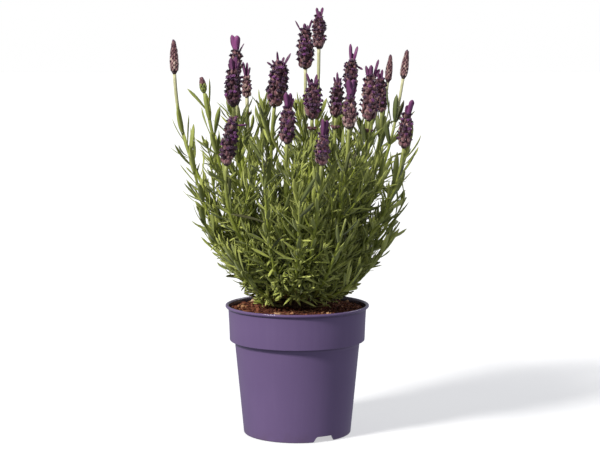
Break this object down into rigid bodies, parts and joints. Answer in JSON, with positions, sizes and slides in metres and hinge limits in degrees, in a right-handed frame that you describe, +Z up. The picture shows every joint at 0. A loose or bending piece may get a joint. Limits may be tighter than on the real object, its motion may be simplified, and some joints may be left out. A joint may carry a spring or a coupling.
{
  "type": "potted lavender",
  "caption": "Butterfly lavender in a round nursery pot: rolled lip, stepped collar and foot notches, soil, woody crown, leafy stems and flower heads topped with bract ears.",
  "frame": {"origin": "on the surface the pot stands on, at the pot's axis", "axes": "+Z up along the pot's axis, -Y towards the front from which it is seen, +X to the right"},
  "size_m": [0.2149, 0.2149, 0.3551],
  "materials": {
    "pot_plastic": "satin moulded plastic, muted violet, slightly scuffed",
    "potting_soil": "matt, damp peat and bark crumbs, dark reddish brown",
    "woody_bark": "matt, flaking grey-brown bark",
    "green_stalk": "satin, square yellow-green stalks with narrow leaves",
    "foliage": "matt, finely felted olive green",
    "florets": "matt, felted dark purple with mauve-brown calyces and magenta ears"
  },
  "bodies": {
    "root": {"pot": "pot_plastic", "soil": "potting_soil", "woody_crown": "woody_bark", "flower_stalk_01": "green_stalk", "flower_stalk_02": "green_stalk", "flower_stalk_03": "green_stalk", "flower_stalk_04": "green_stalk", "flower_stalk_05": "green_stalk", "flower_stalk_06": "green_stalk", "flower_stalk_07": "green_stalk", "flower_stalk_08": "green_stalk", "flower_stalk_09": "green_stalk", "flower_stalk_10": "green_stalk", "flower_stalk_11": "green_stalk", "flower_stalk_12": "green_stalk", "flower_stalk_13": "green_stalk", "flower_stalk_14": "green_stalk", "flower_stalk_15": "green_stalk", "flower_stalk_16": "green_stalk", "flower_stalk_17": "green_stalk", "flower_stalk_18": "green_stalk", "flower_stalk_19": "green_stalk", "flower_stalk_20": "green_stalk", "flower_head_01": "florets", "flower_head_02": "florets", "flower_head_03": "florets", "flower_head_04": "florets", "flower_head_05": "florets", "flower_head_06": "florets", "flower_head_07": "florets", "flower_head_08": "florets", "flower_head_09": "florets", "flower_head_10": "florets", "flower_head_11": "florets", "flower_head_12": "florets", "flower_head_13": "florets", "flower_head_14": "florets", "flower_head_15": "florets", "flower_head_16": "florets", "flower_head_17": "florets", "flower_head_18": "florets", "flower_head_19": "florets", "flower_head_20": "florets", "leafy_shoot_01": "foliage", "leafy_shoot_02": "foliage", "leafy_shoot_03": "foliage", "leafy_shoot_04": "foliage", "leafy_shoot_05": "foliage", "leafy_shoot_06": "foliage", "leafy_shoot_07": "foliage", "leafy_shoot_08": "foliage", "leafy_shoot_09": "foliage", "leafy_shoot_10": "foliage", "leafy_shoot_11": "foliage", "leafy_shoot_12": "foliage", "leafy_shoot_13": "foliage", "leafy_shoot_14": "foliage", "leafy_shoot_15": "foliage", "leafy_shoot_16": "foliage", "leafy_shoot_17": "foliage"}
  },
  "joints": []
}
